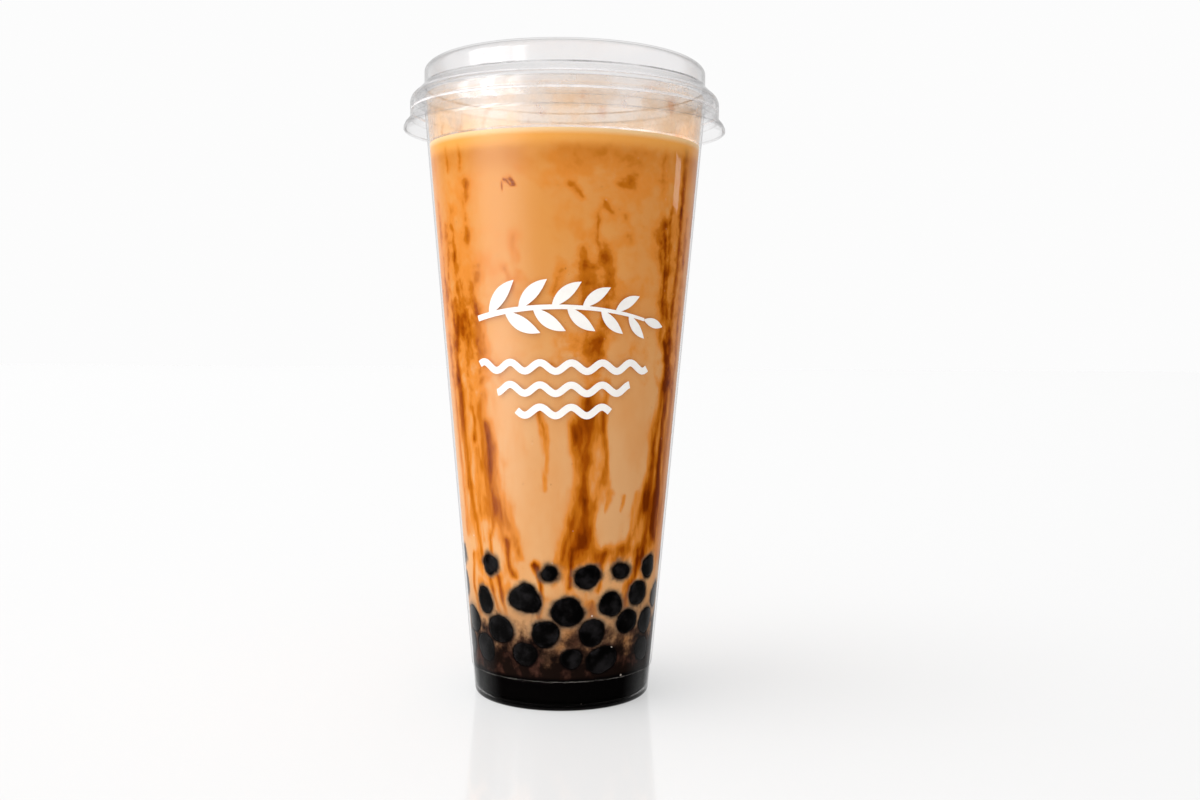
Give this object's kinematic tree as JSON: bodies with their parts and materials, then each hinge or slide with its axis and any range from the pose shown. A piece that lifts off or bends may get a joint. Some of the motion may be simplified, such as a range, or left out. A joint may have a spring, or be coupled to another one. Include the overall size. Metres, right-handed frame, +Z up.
{
  "type": "bubble tea in a lidded cup",
  "caption": "Tall tapered clear plastic cup of milk tea with dark syrup streaks and tapioca pearls, closed by a clear lid with a raised flat top.",
  "frame": {"origin": "middle of the foot's resting plane", "axes": "+Z up the cup's axis, -Y towards the front"},
  "size_m": [0.101, 0.101, 0.1992],
  "materials": {
    "cup_plastic": "clear, slightly hazy moulded plastic",
    "lid_plastic": "clear glossy formed plastic",
    "milk_tea": "opaque caramel milk tea streaked with brown syrup",
    "tapioca": "near-black glossy tapioca in syrup"
  },
  "bodies": {
    "root": {"cup": "cup_plastic", "lid": "lid_plastic", "milk_tea": "milk_tea", "tapioca_pearls": "tapioca"}
  },
  "joints": []
}
